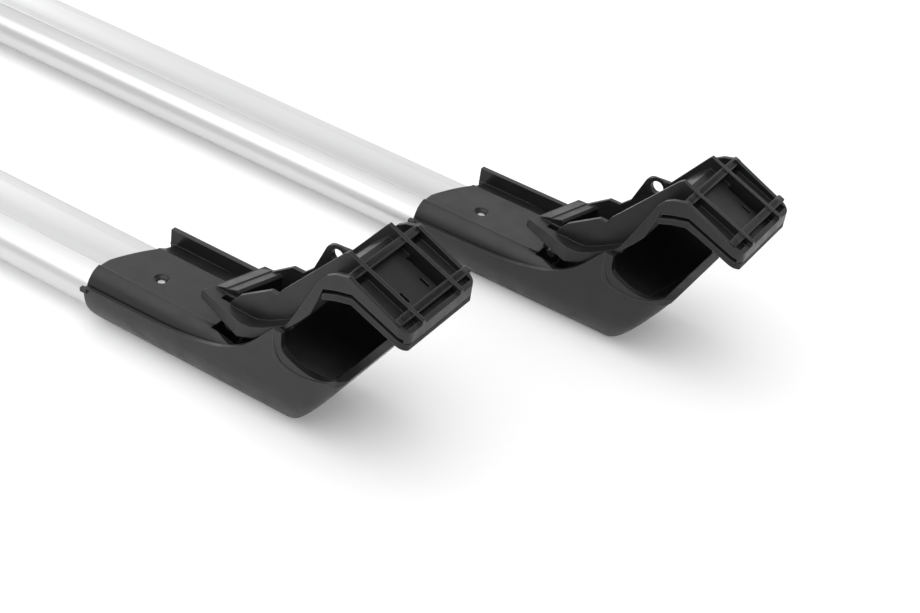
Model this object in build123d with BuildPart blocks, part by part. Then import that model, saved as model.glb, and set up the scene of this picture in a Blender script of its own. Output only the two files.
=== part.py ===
from build123d import *
import math
import os

# Pair of roof cross bars lying upside down, each with a moulded clamping foot at both ends.
# X runs along the bars, Y across them and Z up. The origin is under the middle of the pair.
# Every foot is drawn once in its own frame: X = 0 at the tray screw, Y = 0 on the bar's axis,
# Z = 0 on the ground, and +X towards the foot's free end.

# Bars
bar_length = 960.0
bar_width = 54.0
bar_height = 26.0
bar_nose_radius = 10.0
bar_wall = 2.0
bar_pitch = 173.2
bar_stagger = 88.3

# T-slot in the bar's carrying face and the rubber strip in it
slot_mouth = 11.0
slot_channel = 20.0
slot_depth = 9.0
slot_lip = 2.2
strip_gap = 0.15
strip_flange = 1.8

# Common clearances
fit_gap = 0.3
pin_gap = 0.15

# Lower shell
shell_wall = 2.8
hull_radius = 30.0
hull_axis_height = 24.0
hull_top = 64.0
wall_flare = 1.5
shell_left = -28.0
stern_radius = 11.0
stern_gap = 0.6
stern_swing = 11.5
stern_near_y = -10.0
stern_far_y = 15.0
rim_height = 24.4
rim_peak_start = 91.5
rim_peak_end = 97.0
rim_peak_height = 59.8
scoop_height = 43.0
bow_foot_x = 101.0
bow_lip_x = 134.5
bow_lip_height = 47.8
bow_round = 7.0
bow_lip_width = 5.0
collar_raise = 0.7
nub_reach = 1.6
nub_width = 2.4

# Tray
tray_end = 47.0
tray_wing_end = 63.0
crest_y = 17.7
crest_height = 32.2
crest_step = 1.0
skirt_height = 21.5
end_wall = 2.4
fence_inner_y = 31.0
fence_wall = 3.0
fence_top = 34.0
fence_left = -21.0
fence_end = 42.0

# Tray screw
screw_x = 1.9
screw_y = -4.3
screw_head_diameter = 8.0
screw_shank_diameter = 4.2
screw_length = 10.0
screw_recess = 0.4
screw_cone_height = 1.5

# Hook pin, with the tray's ears and the arm's hooks that hold it
pin_diameter = 5.0
pin_x = 53.0
pin_height = 32.0
pin_length = 28.0
ear_y = 5.5
ear_thickness = 3.0
hook_y = 9.6
hook_thickness = 3.0
eyelet_rim = 2.6

# Clamping arm
frame_near_width = 26.0
frame_far_width = 22.0
frame_left = 35.5
frame_nose = (3.5, 4.5)
frame_left_near_y = -16.5
frame_left_far_y = 20.0
frame_slant = 0.27
frame_bend_x = 67.0
frame_corner = 3.0
frame_bend_radius = 12.0
crossbar_near_y = -12.0
window_start = 57.0
window_end = 84.0
window_notch = 8.0
shoulder_start = 91.0
shoulder_end = 99.0
pad_half_width = 30.4
pad_end = 164.5
pad_corner = 6.0
flange_wall = 2.4
rib_y = 16.5
rib_wall = 2.4
rib_peak_x = 120.3
rib_peak_height = 111.0
pan_drop = 5.9
pan_wall = 2.8
pan_groove = 3.6
pan_groove_span = (134.0, 154.0)
pan_slot = (6.0, 1.8)
pan_slot_x = 148.0
pan_slot_y = 8.5
rod_width = 4.3
rod_height = 4.0
rod_near_y = -26.0
rod_far_y = 27.5
rod_along = (2.5, 33.1)
rod_sink = 0.6
eye_x = 94.5
eye_height = 80.6
eye_hole_radius = 3.8
eye_rim = 2.2
eye_raise = 1.0
eye_corner = 5.0

# Liner under the arm's pad
liner_thickness = 3.4
liner_step = 2.3
liner_inset = 4.5

# Worked-out sizes
bar_floor = shell_wall + fit_gap
bar_axis_height = bar_floor + bar_height / 2
bar_side_centre = bar_width / 2 - bar_nose_radius
bar_face_radius = (
    bar_side_centre**2 + (bar_height / 2) ** 2 - bar_nose_radius**2
) / (bar_height - 2 * bar_nose_radius)
bar_end = tray_end - end_wall - fit_gap
foot_reach = bar_length / 2 - bar_end
rim_inner_y = hull_radius - shell_wall
tray_half_width = rim_inner_y - fit_gap
tray_left = shell_left - stern_gap
tray_flat_height = crest_height - crest_step


# The rounded bar section as four tangent arcs, grown or shrunk evenly by one distance.
def bar_oval(grow):
    nose = bar_nose_radius + grow
    face_centre = bar_face_radius - bar_height / 2
    lean = math.atan2(bar_side_centre, face_centre)
    side_y = bar_side_centre + nose * math.sin(lean)
    side_z = nose * math.cos(lean)
    top = bar_height / 2 + grow
    tip = bar_side_centre + nose
    with BuildSketch() as oval:
        with BuildLine():
            ThreePointArc((-side_y, side_z), (0, top), (side_y, side_z))
            ThreePointArc((side_y, side_z), (tip, 0), (side_y, -side_z))
            ThreePointArc((side_y, -side_z), (0, -top), (-side_y, -side_z))
            ThreePointArc((-side_y, -side_z), (-tip, 0), (-side_y, side_z))
        make_face()
    return oval.sketch


# The shell's hull section: flat keel, round bilges and nearly upright sides, set in by a wall.
def hull_section(inset):
    radius = hull_radius - inset
    keel = inset if inset > 0 else 0
    half_keel = math.sqrt(radius**2 - (hull_axis_height - keel) ** 2)
    turn = math.atan2(hull_axis_height - keel, half_keel) / 2
    bilge = (radius * math.cos(turn), hull_axis_height - radius * math.sin(turn))
    top_y = radius + wall_flare
    with BuildSketch() as section:
        with BuildLine():
            Line((-half_keel, keel), (half_keel, keel))
            ThreePointArc((half_keel, keel), bilge, (radius, hull_axis_height))
            Line((radius, hull_axis_height), (top_y, hull_top))
            Line((top_y, hull_top), (-top_y, hull_top))
            Line((-top_y, hull_top), (-radius, hull_axis_height))
            ThreePointArc((-radius, hull_axis_height), (-bilge[0], bilge[1]), (-half_keel, keel))
        make_face()
    return section.sketch


# A face drawn from its corner points.
def outline(points):
    with BuildSketch() as face:
        with BuildLine():
            Polyline(*points, close=True)
        make_face()
    return face.sketch


# A band of even upright thickness under a line of points.
def band_below(points, thickness):
    lower = [(x, z - thickness) for x, z in reversed(points)]
    return outline(points + lower)


bar_skin = bar_oval(0)
bar_core = bar_oval(-bar_wall)
bar_clear = bar_oval(fit_gap)
hull_outside = hull_section(0)
hull_inside = hull_section(shell_wall)
hull_collar = hull_section(-collar_raise)
bar_start_plane = Plane(origin=(-bar_length / 2, 0, bar_axis_height), x_dir=(0, 1, 0), z_dir=(1, 0, 0))
foot_bar_plane = Plane(origin=(shell_left - 1, 0, bar_axis_height), x_dir=(0, 1, 0), z_dir=(1, 0, 0))

# Aluminium extrusion: hollow rounded section with a T-slot carried on two webs
channel_top = -bar_height / 2 + slot_depth
with BuildPart() as bar_extrusion:
    with BuildSketch(bar_start_plane):
        add(bar_skin)
        add(bar_core, mode=Mode.SUBTRACT)
        with Locations((0, channel_top + bar_wall)):
            Rectangle(
                slot_channel + 2 * bar_wall,
                slot_depth + bar_wall - slot_lip / 2,
                align=(Align.CENTER, Align.MAX),
            )
        for side in (-1, 1):
            with Locations((side * (slot_channel + bar_wall) / 2, 0)):
                Rectangle(bar_wall, bar_height - bar_wall)
        with Locations((0, channel_top)):
            Rectangle(
                slot_channel,
                slot_depth - slot_lip,
                align=(Align.CENTER, Align.MAX),
                mode=Mode.SUBTRACT,
            )
        Rectangle(slot_mouth, bar_height, align=(Align.CENTER, Align.MAX), mode=Mode.SUBTRACT)
        with Locations((0, channel_top)):
            Rectangle(slot_channel, bar_wall, align=(Align.CENTER, Align.MIN))
    extrude(amount=bar_length)
    # Clearance holes for the two tray screws
    for end in (-1, 1):
        with Locations((end * (foot_reach + screw_x), screw_y, bar_axis_height + bar_height / 2)):
            Cylinder(
                screw_shank_diameter / 2 + pin_gap,
                bar_height / 2,
                align=(Align.CENTER, Align.CENTER, Align.CENTER),
                mode=Mode.SUBTRACT,
            )

# Rubber strip: a stem flush with the bar's face and a flange held behind the slot's lips
strip_length = bar_length - 2 * (bar_end - shell_left)
with BuildPart() as slot_strip:
    with BuildSketch(Plane(origin=(-strip_length / 2, 0, bar_floor), x_dir=(0, 1, 0), z_dir=(1, 0, 0))):
        with Locations((0, strip_gap)):
            Rectangle(slot_mouth - 2 * strip_gap, slot_lip + strip_gap, align=(Align.CENTER, Align.MIN))
        with Locations((0, slot_lip + strip_gap)):
            Rectangle(slot_channel - 6 * strip_gap, strip_flange, align=(Align.CENTER, Align.MIN))
    extrude(amount=strip_length)

# Side outline of the shell: stern, level rim, rising rim, peak, scoop and sloping bow
rim_rise_x = rim_peak_start - 82
scoop_x = (rim_peak_end + bow_lip_x) / 2
lip_inner_x = bow_lip_x - bow_lip_width
bow_middle = ((bow_foot_x + bow_lip_x) / 2 + 1.5, bow_lip_height / 2 - 0.5)
with BuildSketch() as shell_side:
    with BuildLine():
        Line((shell_left + stern_radius, 0), (bow_foot_x, 0))
        ThreePointArc((bow_foot_x, 0), bow_middle, (bow_lip_x, bow_lip_height))
        Line((bow_lip_x, bow_lip_height), (lip_inner_x, bow_lip_height))
        Spline(
            (lip_inner_x, bow_lip_height),
            (scoop_x, scoop_height),
            (rim_peak_end + 2.5, bow_lip_height + 1),
            (rim_peak_end, rim_peak_height),
            tangents=((-1, -0.8), (0, 1)),
        )
        Line((rim_peak_end, rim_peak_height), (rim_peak_start, rim_peak_height))
        Spline(
            (rim_peak_start, rim_peak_height),
            (rim_peak_start - 14, rim_height + 19),
            (rim_peak_start - 28, rim_height + 9),
            (rim_rise_x + 37, rim_height + 3.8),
            (rim_rise_x, rim_height + 0.6),
            tangents=((-0.66, -0.75), (-1, -0.02)),
        )
        Line((rim_rise_x, rim_height + 0.6), (shell_left, rim_height))
        Line((shell_left, rim_height), (shell_left, stern_radius))
        RadiusArc((shell_left, stern_radius), (shell_left + stern_radius, 0), -stern_radius)
    make_face()

# Side outline of the cavity, held in from the bow by the wall
bow_slope = math.atan2(bow_lip_height, bow_lip_x - bow_foot_x)
bow_inset = shell_wall / math.sin(bow_slope)
with BuildSketch() as cavity_side:
    with BuildLine():
        Polyline(
            (lip_inner_x - 1, hull_top + 1),
            (bar_end, hull_top + 1),
            (bar_end, shell_wall),
            (bow_foot_x - bow_inset, shell_wall),
        )
        ThreePointArc(
            (bow_foot_x - bow_inset, shell_wall),
            (bow_middle[0] - bow_inset, bow_middle[1] + 1),
            (lip_inner_x, bow_lip_height - 4),
        )
        Polyline(
            (lip_inner_x, bow_lip_height - 4),
            (lip_inner_x, hull_top + 1),
            (lip_inner_x - 1, hull_top + 1),
        )
    make_face()

# Raised collar round the scoop, as seen from the side
with BuildSketch() as collar_side:
    with BuildLine():
        Spline(
            (rim_peak_start + 0.5, rim_peak_height),
            (rim_peak_start + 4, scoop_height - 1.5),
            (scoop_x - 8, scoop_height - 3.4),
            (lip_inner_x - 5, scoop_height + 0.6),
            (bow_lip_x + 2, bow_lip_height - 0.4),
            tangents=((0, -1), (1, 0.6)),
        )
        Polyline(
            (bow_lip_x + 2, bow_lip_height - 0.4),
            (bow_lip_x + 2, hull_top),
            (rim_peak_start + 0.5, hull_top),
            (rim_peak_start + 0.5, rim_peak_height),
        )
    make_face()

# Plan of a moulding whose stern edge swings back towards the far side
def stern_plan(left, right):
    with BuildSketch() as plan:
        with BuildLine():
            Polyline((right, -hull_top), (left, -hull_top), (left, stern_near_y))
            ThreePointArc(
                (left, stern_near_y),
                (left + 0.39 * stern_swing, (stern_far_y + stern_near_y) / 2 - 0.5),
                (left + stern_swing, stern_far_y),
            )
            Polyline(
                (left + stern_swing, stern_far_y),
                (left + stern_swing, fence_inner_y - fit_gap),
                (left + fence_left - tray_left, fence_inner_y - fit_gap),
                (left + fence_left - tray_left, hull_top),
                (right, hull_top),
                (right, -hull_top),
            )
        make_face()
    return plan.sketch


# Cavity of the shell ahead of the bar's end
with BuildPart() as cavity:
    with BuildSketch(Plane.YZ.offset(bar_end)):
        add(hull_inside)
    extrude(amount=bow_lip_x - bar_end)
    with BuildSketch(Plane.XZ):
        add(cavity_side.sketch)
    extrude(amount=2 * hull_radius, both=True, mode=Mode.INTERSECT)

# Raised collar moulded round the scoop, before the hollow is taken out
with BuildPart() as collar:
    with BuildSketch(Plane.YZ.offset(rim_peak_start)):
        add(hull_collar)
    extrude(amount=bow_lip_x - rim_peak_start)
    for side_view in (collar_side.sketch, shell_side.sketch):
        with BuildSketch(Plane.XZ):
            add(side_view)
        extrude(amount=2 * hull_radius, both=True, mode=Mode.INTERSECT)
    with BuildSketch(Plane.XY) as collar_plan:
        with Locations((bow_lip_x, 0)):
            Rectangle(
                bow_lip_x - rim_peak_start,
                2 * (hull_radius + wall_flare + collar_raise),
                align=(Align.MAX, Align.CENTER),
            )
        fillet(collar_plan.vertices().group_by(Axis.X)[-1], radius=bow_round + collar_raise)
    extrude(amount=hull_top, mode=Mode.INTERSECT)

# Lower shell: one moulding, boat shaped, open on top, with a channel for the bar at its stern
with BuildPart() as shell:
    with BuildSketch(Plane.YZ.offset(shell_left)):
        add(hull_outside)
    extrude(amount=bow_lip_x - shell_left)
    with BuildSketch(Plane.XZ):
        add(shell_side.sketch)
    extrude(amount=2 * hull_radius, both=True, mode=Mode.INTERSECT)
    # The bow runs round into the sides and the keel
    bow_face = shell.faces().filter_by(GeomType.CYLINDER).sort_by(Axis.X)[-1]
    fillet(bow_face.edges().sort_by(Axis.Z)[:-1], radius=bow_round)
    with BuildSketch(Plane.XY):
        add(stern_plan(shell_left, bow_lip_x))
    extrude(amount=hull_top, mode=Mode.INTERSECT)
    add(collar.part)
    with BuildSketch(foot_bar_plane):
        add(bar_clear)
    extrude(amount=bar_end - shell_left + 2, mode=Mode.SUBTRACT)
    # Pocket between the rims for the tray's skirts
    with BuildSketch(Plane.XY.offset(skirt_height - fit_gap)):
        with Locations((shell_left - 1, 0)):
            Rectangle(bar_end - shell_left + 2, 2 * rim_inner_y, align=(Align.MIN, Align.CENTER))
    extrude(amount=hull_top, mode=Mode.SUBTRACT)
    add(cavity.part, mode=Mode.SUBTRACT)
    # Locating nub at the stern, where the near seam starts
    with Locations((shell_left - nub_reach, -hull_radius, rim_height)):
        Box(nub_reach + nub_width, nub_width, nub_width, align=(Align.MIN, Align.CENTER, Align.MAX))

# Tray section across the bar: skirts, crested near edge, flat top and the ledge of the fence
with BuildSketch() as tray_section:
    with BuildLine():
        Polyline(
            (fence_inner_y + fence_wall, skirt_height),
            (-tray_half_width, skirt_height),
            (-tray_half_width + 0.3, rim_height - 0.4),
        )
        ThreePointArc(
            (-tray_half_width + 0.3, rim_height - 0.4),
            (-crest_y - 5.3, crest_height - 2.6),
            (-crest_y, crest_height),
        )
        Polyline(
            (-crest_y, crest_height),
            (-crest_y + 1.4, tray_flat_height),
            (crest_y - 1.4, tray_flat_height),
            (crest_y + 4, crest_height - 4),
            (fence_inner_y, rim_height + 1.2),
            (fence_inner_y, fence_top),
            (fence_inner_y + fence_wall, fence_top),
            (fence_inner_y + fence_wall, skirt_height),
        )
    make_face()

# Plan of the tray: the stern edge of the shell, the fence, and a wing that runs on at the near side
with BuildSketch() as tray_plan:
    add(stern_plan(tray_left, tray_wing_end))
    with BuildLine():
        Polyline(
            (tray_wing_end, hull_top),
            (fence_end, hull_top),
            (fence_end, fence_inner_y + fence_wall),
            (tray_end, tray_half_width),
            (tray_end, -crest_y - 2.5),
            (tray_wing_end, -crest_y - 2.5),
            close=True,
        )
    make_face(mode=Mode.SUBTRACT)

# Tray: one moulding that closes the shell over the bar
with BuildPart() as tray:
    with BuildSketch(Plane.YZ.offset(tray_left)):
        add(tray_section.sketch)
    extrude(amount=tray_wing_end - tray_left)
    with BuildSketch(Plane.XY):
        add(tray_plan.sketch)
    extrude(amount=hull_top, mode=Mode.INTERSECT)
    with BuildSketch(foot_bar_plane):
        add(bar_clear)
    extrude(amount=tray_wing_end - shell_left + 2, mode=Mode.SUBTRACT)
    # Room for the shell's rims, which rise past the ledge and the wing
    for side in (-1, 1):
        with BuildSketch(Plane.XZ.offset(side * (rim_inner_y + fence_inner_y) / 2)):
            with Locations((0, fit_gap)):
                add(shell_side.sketch)
        extrude(amount=(fence_inner_y - rim_inner_y) / 2 + fit_gap / 2, both=True, mode=Mode.SUBTRACT)
    # Wing top falling away under the arm's frame
    with BuildSketch(Plane.XZ):
        add(outline([
            (tray_end, crest_height + 1),
            (tray_end, crest_height),
            (tray_wing_end + 1, crest_height - 3.5),
            (tray_wing_end + 1, crest_height + 1),
        ]))
    extrude(amount=2 * hull_radius, mode=Mode.SUBTRACT)
    # Wall that closes the bar's end
    with Locations((tray_end, 0, tray_flat_height)):
        Box(
            end_wall,
            2 * crest_y,
            tray_flat_height - shell_wall - bar_nose_radius,
            align=(Align.MAX, Align.CENTER, Align.MAX),
        )
    # Ears that carry the hook pin
    for side in (-1, 1):
        with BuildSketch(Plane.XZ.offset(side * ear_y)):
            with Locations((pin_x, pin_height)):
                Circle(pin_diameter / 2 + eyelet_rim)
            with Locations((tray_end - end_wall, pin_height)):
                Rectangle(
                    pin_x - tray_end + end_wall,
                    pin_diameter + 2 * eyelet_rim,
                    align=(Align.MIN, Align.CENTER),
                )
        extrude(amount=ear_thickness / 2, both=True)
    with BuildSketch(Plane.XZ):
        with Locations((pin_x, pin_height)):
            Circle(pin_diameter / 2 + pin_gap)
    extrude(amount=ear_y + ear_thickness, both=True, mode=Mode.SUBTRACT)
    # Countersunk seat of the tray screw
    with Locations((screw_x, screw_y, tray_flat_height)):
        Cylinder(
            screw_head_diameter / 2 + pin_gap,
            screw_recess,
            align=(Align.CENTER, Align.CENTER, Align.MAX),
            mode=Mode.SUBTRACT,
        )
    with Locations((screw_x, screw_y, tray_flat_height - screw_recess)):
        Cone(
            screw_shank_diameter / 2,
            screw_head_diameter / 2 + pin_gap,
            screw_cone_height,
            align=(Align.CENTER, Align.CENTER, Align.MAX),
            mode=Mode.SUBTRACT,
        )
    with Locations((screw_x, screw_y, bar_axis_height)):
        Cylinder(
            screw_shank_diameter / 2 + pin_gap,
            hull_top,
            align=(Align.CENTER, Align.CENTER, Align.MIN),
            mode=Mode.SUBTRACT,
        )

# Tray screw: countersunk head and shank
with BuildPart() as tray_screw:
    with Locations((screw_x, screw_y, tray_flat_height - screw_recess)):
        Cone(
            screw_shank_diameter / 2,
            screw_head_diameter / 2,
            screw_cone_height,
            align=(Align.CENTER, Align.CENTER, Align.MAX),
        )
        Cylinder(
            screw_shank_diameter / 2,
            screw_length,
            align=(Align.CENTER, Align.CENTER, Align.MAX),
        )

# Hook pin: plain steel pin across the tray's ears
with BuildPart() as hook_pin:
    with BuildSketch(Plane.XZ):
        with Locations((pin_x, pin_height)):
            Circle(pin_diameter / 2)
    extrude(amount=pin_length / 2, both=True)

# Arm outlines from the side. Each keeps only the corners of its edge.
shoulder_floor = rim_peak_height + fit_gap
frame_top = [(frame_left, 49.3), (70, 48.3), (74, 48.7), (81.6, 52.1), (96.4, 61), (99, 65)]
frame_bottom = [(99, 60.5), (95, 56.8), (86, 50.4), (76, 43), (67, 39.5), (54, 41), (frame_left, 44)]
crossbar = [(44.6, 49), (44.6, 49.8), (51, 51.8), (51.3, 51.3), (57.5, 53.2), (59, 52), (59, 44), (50, 44)]
belly = [(96, shoulder_floor), (105.8, 71), (111, 77.8), (113.3, 84.7), (116.5, 95), (124, 97.5), (132.5, 99.5)]
belly_end = (pad_end, 87)
flange_top = [(98, shoulder_floor + 4), (105, 78.6), (114, 98.4), (117.5, 103), (122, 105.7), (129.4, 107.6), (132, 106.3)]
flange_end = (pad_end, 91.5)
floor_top = [(96, shoulder_floor + 2), (104, 72), (108.5, 79.5), (111, 86), (115, 97.5), (124, 100.3), (132.5, 101.6)]
floor_end = (pad_end, 88.9)
rib_crest = [(rib_peak_x, rib_peak_height), (127, 108.2), (pad_end, 93.4)]
rib_near_top = [(57, 52), (61, 56.9), (78.9, 68.7), (83.1, 68.4), (85.2, 71.9), (118, 109.4)]
rib_far_top = [(52.4, 49), (68.4, 60.4), (75, 60.4), (81, 66), (96, 79.6), (101.3, 86.2), (118, 108.2)]
rib_frame_bottom = [(84, 49), (74, 44), (66, 42.5), (53, 43)]
eye_plate = [(80.5, 65), (88.3, 84.7), (100.8, 85.6), (103, 80), (92, 66)]
pan_top = [(88, 64), (99, 79.5), (114, 97.5), (rib_peak_x + 1, 104.2), (127, 108.2 - pan_drop)]
pan_top += [(pad_end - 0.5, 93.6 - pan_drop)]
belly_up = belly[::-1]
pad_slope = math.degrees(math.atan2(108.2 - 93.4, pad_end - 127))
pad_plane = Plane(origin=(127, 0, 108.2 - rod_sink)).rotated((0, pad_slope, 0))

# Plan of the arm: slanted frame, shoulders that lie on the rims' peaks, rounded pad
frame_left_far = frame_left + frame_slant * (frame_left_far_y - frame_left_near_y)
with BuildSketch() as arm_plan:
    with BuildLine():
        Polyline(
            (frame_left, frame_left_near_y),
            (frame_bend_x, -frame_near_width),
            (shoulder_start, -frame_near_width),
            (shoulder_end, -pad_half_width),
            (pad_end, -pad_half_width),
            (pad_end, pad_half_width),
            (shoulder_end, pad_half_width),
            (shoulder_start, frame_near_width),
            (frame_bend_x, frame_far_width),
            (frame_left_far, frame_left_far_y),
            close=True,
        )
    make_face()
    fillet(arm_plan.vertices().group_by(Axis.X)[-1], radius=pad_corner)
    fillet(arm_plan.vertices().sort_by(Axis.X)[0:2], radius=frame_corner)
    fillet(arm_plan.vertices().filter_by_position(Axis.X, frame_bend_x, frame_bend_x), radius=frame_bend_radius)

# Clamping arm: one ribbed moulding
with BuildPart() as arm:
    # Frame plate with the window between the ribs, notched past the crossbar's near end
    with BuildSketch(Plane.XZ):
        add(outline(frame_top + frame_bottom))
    extrude(amount=frame_near_width, both=True)
    with BuildSketch(Plane.XY):
        with Locations((window_start, 0)):
            Rectangle(window_end - window_start, 2 * rib_y, align=(Align.MIN, Align.CENTER))
        with Locations((window_start, -rib_y)):
            Rectangle(window_notch, rib_y + crossbar_near_y, align=(Align.MAX, Align.MIN))
    extrude(amount=hull_top, mode=Mode.SUBTRACT)
    # Crossbar that slopes up to the window, along the slanted end of the frame
    with BuildSketch(Plane.XZ.offset(-rib_y)):
        with Locations((frame_slant * rib_y, 0)):
            add(outline(crossbar))
    extrude(amount=rib_y - crossbar_near_y, dir=(-frame_slant, -1, 0))
    # Sloping nose along the same slanted end
    nose_in, nose_drop = frame_nose
    with BuildSketch(Plane.XZ.offset(-frame_far_width)):
        with Locations((frame_left + frame_slant * (frame_far_width - frame_left_near_y), frame_top[0][1])):
            add(outline([(-nose_in, -nose_drop), (0, -nose_drop), (nose_in, 0.4), (nose_in, nose_drop), (-nose_in, nose_drop)]))
    extrude(amount=frame_far_width + frame_near_width, dir=(-frame_slant, -1, 0), mode=Mode.SUBTRACT)
    # Side trays of the pad, each a floor with an outer flange
    for side in (-1, 1):
        with BuildSketch(Plane.XZ.offset(side * (pad_half_width + rib_y) / 2)):
            add(outline(floor_top + [floor_end, belly_end] + belly_up))
        extrude(amount=(pad_half_width - rib_y) / 2, both=True)
        with BuildSketch(Plane.XZ.offset(side * (pad_half_width - flange_wall / 2))):
            add(outline(flange_top + [flange_end, belly_end] + belly_up))
        extrude(amount=flange_wall / 2, both=True)
    for y, rib_top in ((-rib_y, rib_near_top), (rib_y, rib_far_top)):
        with BuildSketch(Plane.XZ.offset(-y)):
            add(outline(rib_top + rib_crest + [belly_end] + belly_up + rib_frame_bottom))
        extrude(amount=rib_wall / 2, both=True)
    # Pan between the ribs, with its long grooves and two small slots
    with BuildSketch(Plane.XZ):
        add(band_below(pan_top, pan_wall))
    extrude(amount=rib_y, both=True)
    groove_y = rib_y - rib_wall / 2 - pan_groove / 2
    groove_start, groove_end = pan_groove_span
    with BuildSketch(Plane.XY.offset(rib_peak_height / 2)):
        with Locations(((groove_start + groove_end) / 2, groove_y), ((groove_start + groove_end) / 2, -groove_y)):
            Rectangle(groove_end - groove_start, pan_groove)
        with Locations((pan_slot_x, pan_slot_y), (pan_slot_x, -pan_slot_y)):
            SlotOverall(*pan_slot)
    extrude(amount=rib_peak_height, mode=Mode.SUBTRACT)
    # End wall of the pad
    with BuildSketch(Plane.XZ):
        add(outline([
            (pad_end - flange_wall, belly_end[1] - 1),
            (pad_end - flange_wall, flange_end[1] + 1),
            flange_end,
            (pad_end, belly_end[1] - 1.2),
        ]))
    extrude(amount=pad_half_width, both=True)
    # Two cross rods let into the ribs
    with BuildSketch(pad_plane):
        for along in rod_along:
            with Locations((along, (rod_near_y + rod_far_y) / 2)):
                SlotOverall(rod_far_y - rod_near_y, rod_width, rotation=90)
    extrude(amount=-rod_height)
    # Eye on the far rib: a plate as thick as the rib, with a low rim round the hole
    eye_face = Plane.XZ.offset(rib_wall / 2 - rib_y)
    with BuildSketch(eye_face) as eye_side:
        add(outline(eye_plate))
        fillet(eye_side.vertices().sort_by(Axis.Y)[-2], radius=eye_corner)
    extrude(amount=-rib_wall)
    with BuildSketch(eye_face):
        with Locations((eye_x, eye_height)):
            Circle(eye_hole_radius + eye_rim)
    extrude(amount=eye_raise)
    with BuildSketch(eye_face.offset(eye_raise)):
        with Locations((eye_x, eye_height)):
            Circle(eye_hole_radius)
    extrude(amount=-eye_raise - rib_wall, mode=Mode.SUBTRACT)
    # Hooks under the crossbar that drop over the pin
    for side in (-1, 1):
        with BuildSketch(Plane.XZ.offset(side * hook_y)):
            with Locations((pin_x, pin_height)):
                Circle(pin_diameter / 2 + eyelet_rim)
                Rectangle(
                    pin_diameter + 2 * eyelet_rim,
                    crossbar[-1][1] + 1 - pin_height,
                    align=(Align.CENTER, Align.MIN),
                )
                Circle(pin_diameter / 2 + pin_gap, mode=Mode.SUBTRACT)
                Rectangle(
                    pin_diameter + 2 * pin_gap,
                    pin_diameter + eyelet_rim,
                    align=(Align.CENTER, Align.MAX),
                    mode=Mode.SUBTRACT,
                )
        extrude(amount=hook_thickness / 2, both=True)
    with BuildSketch(Plane.XY):
        add(arm_plan.sketch)
    extrude(amount=rib_peak_height, mode=Mode.INTERSECT)

# Rubber liner under the pad, with two raised strips that meet the side trays
liner_top = [(116.4, 92.4), (124, 97.5 - liner_step), (132.5, 99.5 - liner_step), (pad_end - 0.5, 87.2 - liner_step)]
with BuildPart() as arm_liner:
    with BuildSketch(Plane.XZ):
        add(band_below(liner_top, liner_thickness))
    extrude(amount=pad_half_width, both=True)
    with BuildSketch(Plane.XY):
        add(arm_plan.sketch)
    extrude(amount=rib_peak_height, mode=Mode.INTERSECT)
    for side in (-1, 1):
        with BuildSketch(Plane.XZ.offset(side * (rib_y + pad_half_width) / 2)):
            add(outline([(137, 97.7), (158, 89.5), (158, 86), (137, 94)]))
        extrude(amount=(pad_half_width - rib_y) / 2 - liner_inset, both=True)

pieces = {
    "shell": shell.part,
    "tray": tray.part,
    "tray_screw": tray_screw.part,
    "hook_pin": hook_pin.part,
    "arm": arm.part,
    "arm_liner": arm_liner.part,
}

# Four feet round the two bars. The pair is centred over the origin.
os.makedirs("parts", exist_ok=True)
reach_near = min(piece.bounding_box().min.Y for piece in pieces.values())
reach_far = max(piece.bounding_box().max.Y for piece in pieces.values())
middle_y = (reach_near + reach_far) / 2
places = {
    "front": (-bar_stagger / 2, -bar_pitch / 2 - middle_y),
    "rear": (bar_stagger / 2, bar_pitch / 2 - middle_y),
}
for bar_name, (x, y) in places.items():
    for label, source in (("bar", bar_extrusion), ("slot_strip", slot_strip)):
        with BuildPart() as placed:
            with Locations((x, y, 0)):
                add(source.part)
        placed.part.label = f"{bar_name}_{label}"
        export_step(placed.part, f"parts/{placed.part.label}.step")
    for label, piece in pieces.items():
        with BuildPart() as right_piece:
            with Locations((x + foot_reach, y, 0)):
                add(piece)
        right_piece.part.label = f"{bar_name}_right_{label}"
        export_step(right_piece.part, f"parts/{right_piece.part.label}.step")
        with BuildPart() as left_piece:
            mirror(right_piece.part, about=Plane.YZ.offset(x))
        left_piece.part.label = f"{bar_name}_left_{label}"
        export_step(left_piece.part, f"parts/{left_piece.part.label}.step")
print("foot frame origin of the front right foot:", places["front"][0] + foot_reach, places["front"][1])
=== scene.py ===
import bpy
import math
from mathutils import Matrix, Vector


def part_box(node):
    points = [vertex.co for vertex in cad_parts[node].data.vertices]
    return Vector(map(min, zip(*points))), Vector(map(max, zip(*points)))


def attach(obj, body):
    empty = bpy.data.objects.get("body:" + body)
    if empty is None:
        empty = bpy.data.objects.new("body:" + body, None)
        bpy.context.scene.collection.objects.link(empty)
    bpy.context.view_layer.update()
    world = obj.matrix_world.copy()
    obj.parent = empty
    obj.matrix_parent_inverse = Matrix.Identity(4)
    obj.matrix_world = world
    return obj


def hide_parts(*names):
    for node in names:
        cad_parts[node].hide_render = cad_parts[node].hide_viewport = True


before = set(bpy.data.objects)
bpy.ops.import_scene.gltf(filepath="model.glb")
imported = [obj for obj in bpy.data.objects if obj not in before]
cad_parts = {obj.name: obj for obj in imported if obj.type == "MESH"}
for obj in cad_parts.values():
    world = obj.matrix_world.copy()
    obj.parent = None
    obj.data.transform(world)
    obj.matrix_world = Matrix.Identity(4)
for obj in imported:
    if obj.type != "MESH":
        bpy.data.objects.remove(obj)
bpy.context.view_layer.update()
bpy.ops.object.select_all(action="DESELECT")

# Bars: two extruded aluminium bars with rounded noses, cut to length and silver anodised.
# The die leaves faint lines along each bar, and the anodising a soft satin sheen.


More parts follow.
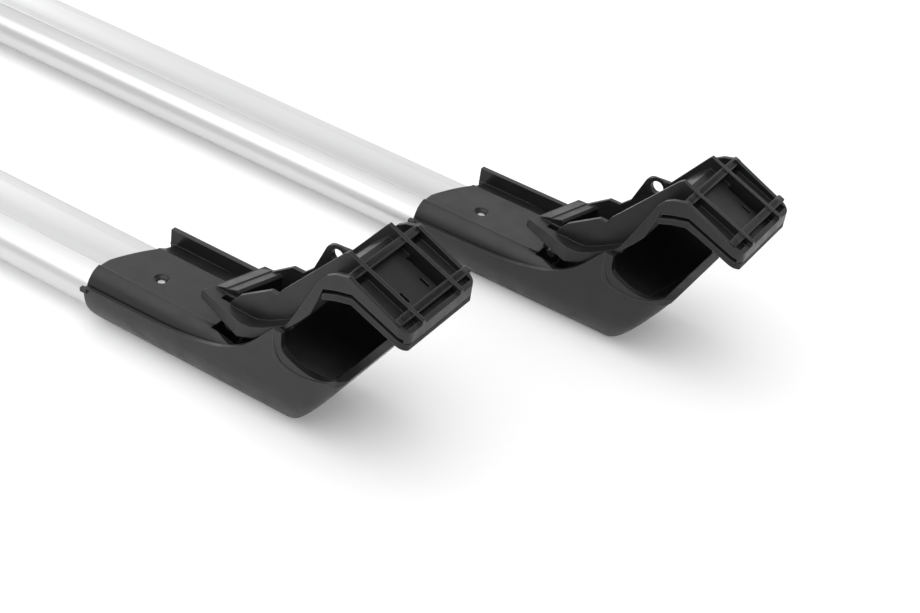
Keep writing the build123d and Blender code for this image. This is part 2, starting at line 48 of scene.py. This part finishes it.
def new_material(name):
    material = bpy.data.materials.new(name)
    material.use_nodes = True
    nodes = material.node_tree.nodes
    return material, nodes, material.node_tree.links, nodes["Principled BSDF"]


def noise(nodes, scale, detail):
    field = nodes.new("ShaderNodeTexNoise")
    field.inputs["Scale"].default_value = scale
    field.inputs["Detail"].default_value = detail
    return field


def tint_between(nodes, dark, light):
    tint = nodes.new("ShaderNodeMix")
    tint.data_type = "RGBA"
    tint.inputs["A"].default_value = (*dark, 1.0)
    tint.inputs["B"].default_value = (*light, 1.0)
    return tint


def gloss_between(nodes, noise_low, noise_high, satin, dull):
    gloss = nodes.new("ShaderNodeMapRange")
    gloss.inputs["From Min"].default_value = noise_low
    gloss.inputs["From Max"].default_value = noise_high
    gloss.inputs["To Min"].default_value = satin
    gloss.inputs["To Max"].default_value = dull
    return gloss


def dress(node, material):
    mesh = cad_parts[node].data
    mesh.materials.clear()
    mesh.materials.append(material)


anodised, nodes, links, shader = new_material("silver_anodised_extrusion")
shader.inputs["Metallic"].default_value = 1.0
bar_place = nodes.new("ShaderNodeTexCoord")
along_bar = nodes.new("ShaderNodeMapping")
along_bar.inputs["Scale"].default_value = (1.2, 900.0, 900.0)
die_lines = noise(nodes, 1.0, 3.0)
clouding = noise(nodes, 9.0, 4.0)
bar_tint = tint_between(nodes, (0.64, 0.64, 0.645), (0.70, 0.70, 0.705))
bar_gloss = gloss_between(nodes, 0.3, 0.7, 0.34, 0.44)
bar_relief = nodes.new("ShaderNodeBump")
bar_relief.inputs["Strength"].default_value = 0.12
bar_relief.inputs["Distance"].default_value = 0.00004
links.new(bar_place.outputs["Object"], along_bar.inputs["Vector"])
links.new(along_bar.outputs["Vector"], die_lines.inputs["Vector"])
links.new(bar_place.outputs["Object"], clouding.inputs["Vector"])
links.new(clouding.outputs["Fac"], bar_tint.inputs["Factor"])
links.new(bar_tint.outputs["Result"], shader.inputs["Base Color"])
links.new(die_lines.outputs["Fac"], bar_gloss.inputs["Value"])
links.new(bar_gloss.outputs["Result"], shader.inputs["Roughness"])
links.new(die_lines.outputs["Fac"], bar_relief.inputs["Height"])
links.new(bar_relief.outputs["Normal"], shader.inputs["Normal"])
for side in ("front", "rear"):
    dress(f"{side}_bar", anodised)

# Feet: the shell, tray and arm of each foot are black glass-filled nylon, injection moulded.
# The mould is spark eroded, so the faces carry a fine even grain and a satin gloss, and the
# corners come out slightly rounded. Every corner, hollow ones too, is also painted paler, a
# painted highlight along the edges.
# soft_corners gives the rounded corner normal, and a Corner mask that marks where the painted edge
# highlight goes.
soft_corners = bpy.data.node_groups.new("soft_corners", "ShaderNodeTree")
soft_corners.interface.new_socket("Radius", in_out="INPUT", socket_type="NodeSocketFloat")
soft_corners.interface.new_socket("Corner", in_out="OUTPUT", socket_type="NodeSocketFloat")
soft_corners.interface.new_socket("Normal", in_out="OUTPUT", socket_type="NodeSocketVector")
corner_nodes = soft_corners.nodes
corner_in = corner_nodes.new("NodeGroupInput")
corner_out = corner_nodes.new("NodeGroupOutput")
corner_bevel = corner_nodes.new("ShaderNodeBevel")
corner_bevel.samples = 6
corner_face = corner_nodes.new("ShaderNodeNewGeometry")
corner_dot = corner_nodes.new("ShaderNodeVectorMath")
corner_dot.operation = "DOT_PRODUCT"
corner_nearness = corner_nodes.new("ShaderNodeMapRange")
corner_nearness.inputs["From Min"].default_value = 0.995
corner_nearness.inputs["From Max"].default_value = 0.80
soft_corners.links.new(corner_in.outputs["Radius"], corner_bevel.inputs["Radius"])
soft_corners.links.new(corner_bevel.outputs["Normal"], corner_dot.inputs[0])
soft_corners.links.new(corner_face.outputs["True Normal"], corner_dot.inputs[1])
soft_corners.links.new(corner_dot.outputs["Value"], corner_nearness.inputs["Value"])
soft_corners.links.new(corner_nearness.outputs["Result"], corner_out.inputs["Corner"])
soft_corners.links.new(corner_bevel.outputs["Normal"], corner_out.inputs["Normal"])

moulded_grain = bpy.data.node_groups.new("moulded_grain", "ShaderNodeTree")
moulded_grain.interface.new_socket("Grain Size", in_out="INPUT", socket_type="NodeSocketFloat")
moulded_grain.interface.new_socket("Grain", in_out="OUTPUT", socket_type="NodeSocketFloat")
moulded_grain.interface.new_socket("Flow", in_out="OUTPUT", socket_type="NodeSocketFloat")
grain_nodes = moulded_grain.nodes
grain_in = grain_nodes.new("NodeGroupInput")
grain_out = grain_nodes.new("NodeGroupOutput")
grain_place = grain_nodes.new("ShaderNodeTexCoord")
grain_pits = grain_nodes.new("ShaderNodeTexNoise")
grain_pits.inputs["Detail"].default_value = 3.0
grain_pits.inputs["Roughness"].default_value = 0.6
grain_flow = noise(grain_nodes, 85.0, 3.0)
moulded_grain.links.new(grain_place.outputs["Object"], grain_pits.inputs["Vector"])
moulded_grain.links.new(grain_place.outputs["Object"], grain_flow.inputs["Vector"])
moulded_grain.links.new(grain_in.outputs["Grain Size"], grain_pits.inputs["Scale"])
moulded_grain.links.new(grain_pits.outputs["Fac"], grain_out.inputs["Grain"])
moulded_grain.links.new(grain_flow.outputs["Fac"], grain_out.inputs["Flow"])

# Painted highlight: near every corner the colour is lifted to this many times the light tone.
edge_highlight_gain = 4.0


def moulded(name, dark, light, satin, dull, grain_per_metre, relief, corner_radius):
    material, nodes, links, shader = new_material(name)
    shader.inputs["Specular IOR Level"].default_value = 0.42
    grain = nodes.new("ShaderNodeGroup")
    grain.node_tree = moulded_grain
    grain.inputs["Grain Size"].default_value = grain_per_metre
    corner = nodes.new("ShaderNodeGroup")
    corner.node_tree = soft_corners
    corner.inputs["Radius"].default_value = corner_radius
    tint = tint_between(nodes, dark, light)
    # Painted highlight: this tone, lighter than the light tone, is painted on near every corner,
    # convex or hollow.
    edge_highlight = tint_between(nodes, dark, [edge_highlight_gain * level for level in light])
    gloss = gloss_between(nodes, 0.3, 0.7, satin, dull)
    bump = nodes.new("ShaderNodeBump")
    bump.inputs["Strength"].default_value = relief
    bump.inputs["Distance"].default_value = 0.00015
    links.new(grain.outputs["Flow"], tint.inputs["Factor"])
    links.new(tint.outputs["Result"], edge_highlight.inputs["A"])
    links.new(corner.outputs["Corner"], edge_highlight.inputs["Factor"])
    links.new(edge_highlight.outputs["Result"], shader.inputs["Base Color"])
    links.new(grain.outputs["Flow"], gloss.inputs["Value"])
    links.new(gloss.outputs["Result"], shader.inputs["Roughness"])
    links.new(grain.outputs["Grain"], bump.inputs["Height"])
    links.new(corner.outputs["Normal"], bump.inputs["Normal"])
    links.new(bump.outputs["Normal"], shader.inputs["Normal"])
    return material


nylon = moulded(
    "black_moulded_nylon",
    dark=(0.009, 0.009, 0.010),
    light=(0.014, 0.014, 0.015),
    satin=0.28,
    dull=0.48,
    grain_per_metre=1500.0,
    relief=0.55,
    corner_radius=0.0006,
)
feet = (("front", "right"), ("front", "left"), ("rear", "right"), ("rear", "left"))
for side, end in feet:
    for piece in ("shell", "tray", "arm"):
        dress(f"{side}_{end}_{piece}", nylon)

# Rubber: the liner under each arm's pad and the strip in each bar's slot are matt black rubber.
# Both are moulded or extruded soft, so they show a finer, duller surface than the feet.
# The rubber's corners carry the same painted edge highlight as the nylon.
rubber = moulded(
    "black_rubber",
    dark=(0.014, 0.014, 0.014),
    light=(0.020, 0.020, 0.020),
    satin=0.62,
    dull=0.80,
    grain_per_metre=1200.0,
    relief=0.18,
    corner_radius=0.0008,
)
for side in ("front", "rear"):
    dress(f"{side}_slot_strip", rubber)
for side, end in feet:
    dress(f"{side}_{end}_arm_liner", rubber)

# Hook pins: drawn steel pins, zinc plated and cut to length, one through the ears of each tray.
# The plating leaves a faint cloudy bloom, and the cut ends have slightly broken edges.
zinc, nodes, links, shader = new_material("zinc_plated_steel")
shader.inputs["Metallic"].default_value = 1.0
zinc_place = nodes.new("ShaderNodeTexCoord")
zinc_bloom = noise(nodes, 700.0, 3.0)
zinc_tint = tint_between(nodes, (0.56, 0.56, 0.57), (0.68, 0.68, 0.69))
zinc_gloss = gloss_between(nodes, 0.0, 1.0, 0.22, 0.42)
zinc_corner = nodes.new("ShaderNodeGroup")
zinc_corner.node_tree = soft_corners
zinc_corner.inputs["Radius"].default_value = 0.0003
links.new(zinc_place.outputs["Object"], zinc_bloom.inputs["Vector"])
links.new(zinc_bloom.outputs["Fac"], zinc_tint.inputs["Factor"])
links.new(zinc_tint.outputs["Result"], shader.inputs["Base Color"])
links.new(zinc_bloom.outputs["Fac"], zinc_gloss.inputs["Value"])
links.new(zinc_gloss.outputs["Result"], shader.inputs["Roughness"])
links.new(zinc_corner.outputs["Normal"], shader.inputs["Normal"])
for side, end in feet:
    dress(f"{side}_{end}_hook_pin", zinc)

# Tray screws: zinc-plated steel, driven into the bar. What is made is the plain round end of the
# shank, low in the front right tray's cone seat, without its head, copied to the other three.
seat_low, seat_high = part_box("front_right_tray_screw")
screw_x = (seat_low[0] + seat_high[0]) / 2
screw_y = (seat_low[1] + seat_high[1]) / 2
shank_radius = 0.0020
shank_sink = 0.0016
shank_length = seat_high[2] - shank_sink - seat_low[2]
bpy.ops.mesh.primitive_cylinder_add(
    vertices=48,
    radius=shank_radius,
    depth=shank_length,
    location=(screw_x, screw_y, seat_low[2] + shank_length / 2),
)
screw = bpy.context.object
screw.name = "front_right_screw"
bpy.ops.object.transform_apply(location=True, rotation=True, scale=True)
bpy.ops.object.shade_smooth_by_angle(angle=math.radians(30))
screw.data.materials.append(zinc)
for side, end in feet:
    driven = screw
    if (side, end) != ("front", "right"):
        low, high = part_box(f"{side}_{end}_tray_screw")
        driven = screw.copy()
        driven.data = screw.data.copy()
        driven.name = f"{side}_{end}_screw"
        bpy.context.collection.objects.link(driven)
        driven.data.transform(Matrix.Translation(low - seat_low))
    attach(driven, "root")
    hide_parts(f"{side}_{end}_tray_screw")

# Rod ends: the two cross rods of each arm run on past the ribs and end as blunt stubs on the
# flange. They are rounded blocks laid along the pad's slope, moulded with the arm in black nylon.
pad_end_x = 0.1645
pad_run = 0.0375
pad_drop = 0.0148
pad_slope = math.atan2(pad_drop, pad_run)
rod_top_x = 0.1270
rod_top_z = 0.1076
rod_rows = (("upper", 0.0025), ("lower", 0.0331))
rod_thickness = 0.0041
rod_width = 0.0044
rod_near_y = -0.0290
rod_far_y = 0.0325
rod_round = 0.0010


def foot_frame(side, end):
    low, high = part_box(f"{side}_{end}_arm")
    outward = 1 if end == "right" else -1
    foot_x = high[0] - pad_end_x if end == "right" else low[0] + pad_end_x
    return outward, foot_x, (low[1] + high[1]) / 2


def round_edges(piece, radius, segments):
    rounding = piece.modifiers.new("rounding", "BEVEL")
    rounding.width = radius
    rounding.segments = segments
    bpy.ops.object.modifier_apply(modifier=rounding.name)
    bpy.ops.object.shade_smooth_by_angle(angle=math.radians(40))


for side, end in feet:
    outward, foot_x, foot_y = foot_frame(side, end)
    for row, along in rod_rows:
        rod_x = rod_top_x + along * math.cos(pad_slope) - rod_thickness / 2 * math.sin(pad_slope)
        rod_z = rod_top_z - along * math.sin(pad_slope) - rod_thickness / 2 * math.cos(pad_slope)
        bpy.ops.mesh.primitive_cube_add(
            size=1,
            location=(foot_x + outward * rod_x, foot_y + (rod_near_y + rod_far_y) / 2, rod_z),
            rotation=(0, outward * pad_slope, 0),
            scale=(rod_width, rod_far_y - rod_near_y, rod_thickness),
        )
        rod = bpy.context.object
        rod.name = f"{side}_{end}_{row}_rod"
        bpy.ops.object.transform_apply(location=True, rotation=True, scale=True)
        round_edges(rod, rod_round, 4)
        rod.data.materials.append(nylon)
        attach(rod, "root")

# Rail-side walls: the shell's wall on the rail side stands higher than the near one and runs
# straight to the bow. Each is a flat panel cut to that line, of the shell's own nylon.
# It leans out with the hull.
peak_x = 0.0975
peak_z = 0.0598
knee_x = 0.1190
knee_z = 0.0529
panel_start = 0.0930
panel_end = 0.1280
panel_foot_z = 0.0400
panel_tip_z = 0.0469
panel_thickness = 0.0029
panel_outer_y = 0.03065
panel_round = 0.0006
hull_flare = 0.0015
hull_flare_height = 0.0400
hull_lean = math.atan2(hull_flare, hull_flare_height)
panel_line = (
    ((peak_x, peak_z), (knee_x, knee_z)),
    ((knee_x, knee_z), (panel_end, panel_tip_z)),
)
for side, end in feet:
    outward, foot_x, foot_y = foot_frame(side, end)
    outer_y = foot_y + panel_outer_y
    bpy.ops.mesh.primitive_cube_add(
        size=1,
        location=(
            foot_x + outward * (panel_start + panel_end) / 2,
            outer_y - panel_thickness / 2,
            (panel_foot_z + peak_z) / 2,
        ),
        scale=(panel_end - panel_start, panel_thickness, peak_z - panel_foot_z),
    )
    panel = bpy.context.object
    panel.name = f"{side}_{end}_rail_side"
    bpy.ops.object.transform_apply(location=True, rotation=True, scale=True)
    bpy.ops.object.mode_set(mode="EDIT")
    for (from_x, from_z), (to_x, to_z) in panel_line:
        bpy.ops.mesh.select_all(action="SELECT")
        bpy.ops.mesh.bisect(
            plane_co=(foot_x + outward * from_x, outer_y, from_z),
            plane_no=(outward * (from_z - to_z), 0, to_x - from_x),
            use_fill=True,
            clear_outer=True,
        )
    bpy.ops.mesh.select_all(action="SELECT")
    bpy.ops.transform.rotate(
        value=hull_lean,
        orient_axis="X",
        center_override=(foot_x, outer_y, panel_foot_z),
    )
    bpy.ops.object.mode_set(mode="OBJECT")
    round_edges(panel, panel_round, 3)
    panel.data.materials.append(nylon)
    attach(panel, "root")

# Collar beads: the near collar of each shell ends in a fine raised bead that follows the scoop
# to the bow. It is a thin round of nylon moulded on the hull, from the rim's peak round the corner.
bead_radius = 0.00045
bead_line = (
    (0.0922, -0.03158, 0.0590),
    (0.0926, -0.03155, 0.0520),
    (0.0948, -0.03148, 0.0450),
    (0.0995, -0.03135, 0.0412),
    (0.1078, -0.03130, 0.0396),
    (0.1160, -0.03135, 0.0408),
    (0.1220, -0.03142, 0.0427),
    (0.1268, -0.03145, 0.0443),
    (0.1305, -0.03050, 0.0455),
    (0.1330, -0.02820, 0.0463),
)
for side, end in feet:
    outward, foot_x, foot_y = foot_frame(side, end)
    bpy.ops.curve.primitive_nurbs_path_add(location=(0, 0, 0))
    bead = bpy.context.object
    bead.name = f"{side}_{end}_collar_bead"
    path = bead.data.splines[0]
    path.points.add(len(bead_line) - len(path.points))
    for point, (x, y, z) in zip(path.points, bead_line):
        point.co = (foot_x + outward * x, foot_y + y, z, 1)
    path.order_u = 4
    path.use_endpoint_u = True
    bead.data.bevel_depth = bead_radius
    bead.data.bevel_resolution = 3
    bead.data.use_fill_caps = True
    bpy.ops.object.convert(target="MESH")
    bpy.ops.object.shade_smooth_by_angle(angle=math.radians(40))
    bead.data.materials.append(nylon)
    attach(bead, "root")

# Floor: a sheet of white paper under the keels of the shells. It glows faintly where it is seen,
# directly or mirrored in the bars, so that it stays white and keeps the shadows.
bpy.ops.object.select_all(action="DESELECT")
bpy.ops.mesh.primitive_plane_add(size=14.0, location=(0, 0, -0.0004))
floor = bpy.context.object
floor.name = "floor"
paper, nodes, links, shader = new_material("white_paper")
shader.inputs["Base Color"].default_value = (0.92, 0.92, 0.92, 1.0)
shader.inputs["Roughness"].default_value = 0.9
shader.inputs["Specular IOR Level"].default_value = 0.1
paper_glow = nodes.new("ShaderNodeEmission")
paper_rays = nodes.new("ShaderNodeLightPath")
paper_seen = nodes.new("ShaderNodeMath")
paper_seen.operation = "MAXIMUM"
paper_strength = nodes.new("ShaderNodeMath")
paper_strength.operation = "MULTIPLY"
paper_strength.inputs[1].default_value = 0.18
paper_sum = nodes.new("ShaderNodeAddShader")
links.new(paper_rays.outputs["Is Camera Ray"], paper_seen.inputs[0])
links.new(paper_rays.outputs["Is Glossy Ray"], paper_seen.inputs[1])
links.new(paper_seen.outputs["Value"], paper_strength.inputs[0])
links.new(paper_strength.outputs["Value"], paper_glow.inputs["Strength"])
links.new(shader.outputs["BSDF"], paper_sum.inputs[0])
links.new(paper_glow.outputs["Emission"], paper_sum.inputs[1])
links.new(paper_sum.outputs["Shader"], nodes["Material Output"].inputs["Surface"])
floor.data.materials.append(paper)

# Lights: a plain white room and four soft boxes, all aimed at the right-hand feet. A low one stands
# in front, a broad one hangs overhead, a broad one lights the bars' flat tops from behind, and a
# small one stands at the left.
scene = bpy.context.scene
scene.view_settings.view_transform = "Standard"
world = bpy.data.worlds.new("white_room")
scene.world = world
world.use_nodes = True
room = world.node_tree.nodes["Background"]
room.inputs["Color"].default_value = (1.0, 1.0, 1.0, 1.0)
room.inputs["Strength"].default_value = 0.45
softbox_aim = (0.45, 0, 0)


def softbox(name, place, width, height, watts):
    light = bpy.data.lights.new(name, "AREA")
    light.shape = "RECTANGLE"
    light.size = width
    light.size_y = height
    light.energy = watts
    lamp = bpy.data.objects.new(name, light)
    bpy.context.collection.objects.link(lamp)
    lamp.location = place
    run = [a - b for a, b in zip(softbox_aim, place)]
    flat = math.hypot(run[0], run[1])
    lamp.rotation_euler = (math.atan2(flat, -run[2]), 0, math.atan2(run[1], run[0]) - math.pi / 2)


softbox("front_softbox", (-0.6, -2.4, 0.72), 3.0, 1.4, 5)
softbox("overhead_softbox", (0.0, -0.7, 2.0), 3.4, 2.8, 46)
softbox("back_softbox", (-0.9, 2.9, 1.3), 5.0, 2.4, 29)
softbox("left_softbox", (-2.0, 1.2, 0.8), 2.0, 1.4, 7)

# Camera: it looks down over the two right-hand feet through a long lens, from the place
# worked out for the photograph.
camera_data = bpy.data.cameras.new("camera")
camera_data.sensor_width = 36.0
camera_data.lens = 74.158
camera = bpy.data.objects.new("camera", camera_data)
bpy.context.collection.objects.link(camera)
camera.location = (0.89171, -0.72670, 0.60462)
camera.rotation_euler = (math.radians(54.3737), math.radians(-7.6278), math.radians(32.5467))
scene.camera = camera
